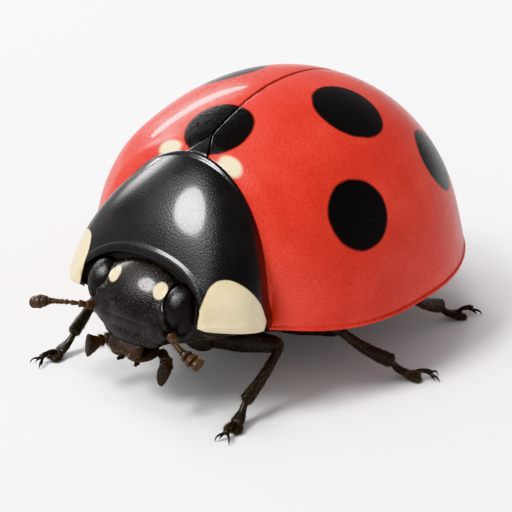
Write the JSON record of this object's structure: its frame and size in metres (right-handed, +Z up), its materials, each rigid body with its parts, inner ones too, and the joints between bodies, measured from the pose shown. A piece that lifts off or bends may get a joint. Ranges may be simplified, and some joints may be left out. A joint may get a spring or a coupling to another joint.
{
  "type": "seven-spot ladybird",
  "caption": "Life-size model of a standing seven-spot ladybird: red spotted wing cases, black pronotum and head, feelers, mouthparts and jointed legs.",
  "frame": {"origin": "on the floor, at the middle of the whole animal's length with its feelers, and on its middle plane", "axes": "+Y from head to tail, so the head faces -Y; +X to the animal's own left; +Z up from the floor that the feet stand on"},
  "size_m": [0.0076, 0.0084, 0.0046],
  "materials": {
    "red_shell": "glossy tomato-red wing case with black spots, fine pits",
    "black_shell": "glossy black plate, finely pitted, with cream corners on the pronotum",
    "black_limb": "satin black-brown limb with fine pale hairs",
    "brown_mouth": "satin dark brown feelers and mouthparts",
    "eye": "black compound eye of many small lenses"
  },
  "bodies": {
    "root": {"head": "black_shell", "pronotum": "black_shell", "prothorax": "black_shell", "mesothorax": "black_shell", "metathorax": "black_shell", "abdomen": "black_shell", "scutellum": "black_shell", "labrum": "brown_mouth", "labium": "brown_mouth", "elytron_left": "red_shell", "eye_left": "eye", "antenna_left": "brown_mouth", "maxillary_palp_left": "brown_mouth", "mandible_left": "brown_mouth", "coxa_front_left": "black_limb", "femur_front_left": "black_limb", "tibia_front_left": "black_limb", "tarsus_front_left": "black_limb", "coxa_middle_left": "black_limb", "femur_middle_left": "black_limb", "tibia_middle_left": "black_limb", "tarsus_middle_left": "black_limb", "coxa_hind_left": "black_limb", "femur_hind_left": "black_limb", "tibia_hind_left": "black_limb", "tarsus_hind_left": "black_limb", "elytron_right": "red_shell", "eye_right": "eye", "antenna_right": "brown_mouth", "maxillary_palp_right": "brown_mouth", "mandible_right": "brown_mouth", "coxa_front_right": "black_limb", "femur_front_right": "black_limb", "tibia_front_right": "black_limb", "tarsus_front_right": "black_limb", "coxa_middle_right": "black_limb", "femur_middle_right": "black_limb", "tibia_middle_right": "black_limb", "tarsus_middle_right": "black_limb", "coxa_hind_right": "black_limb", "femur_hind_right": "black_limb", "tibia_hind_right": "black_limb", "tarsus_hind_right": "black_limb"}
  },
  "joints": []
}
